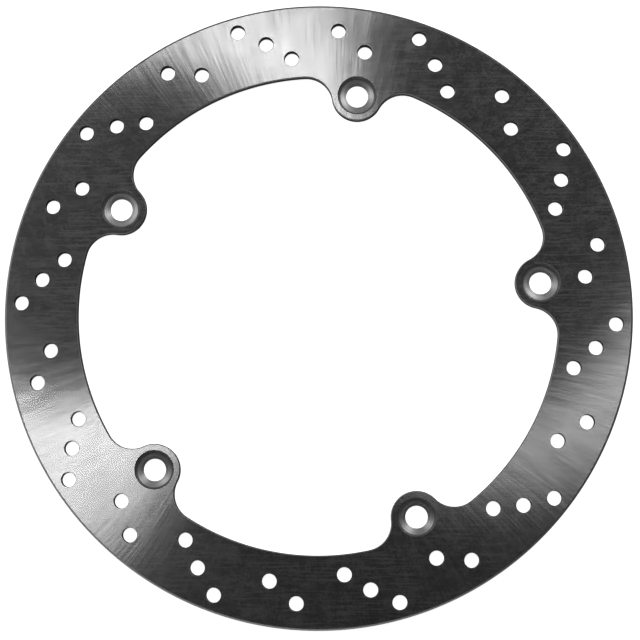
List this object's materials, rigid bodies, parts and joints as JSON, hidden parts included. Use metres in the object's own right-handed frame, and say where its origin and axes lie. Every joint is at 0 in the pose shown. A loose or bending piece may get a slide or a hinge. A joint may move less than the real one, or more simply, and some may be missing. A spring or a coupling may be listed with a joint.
{
  "type": "brake disc rotor",
  "caption": "Fixed one-piece motorcycle brake disc: flat ground steel ring with inward ears for bolts in stepped seats, and a spiral pattern of cooling holes.",
  "frame": {"origin": "on the disc's axis, in the plane of its back face, which lies against the wheel", "axes": "+Z along the disc's axis, from the back face to the front face with the bolt seats; +X through the middle of one ear"},
  "size_m": [0.305, 0.305, 0.005],
  "materials": {
    "ground_steel": "ground with fine near-radial marks, satin"
  },
  "bodies": {
    "root": {"brake_disc": "ground_steel"}
  },
  "joints": []
}
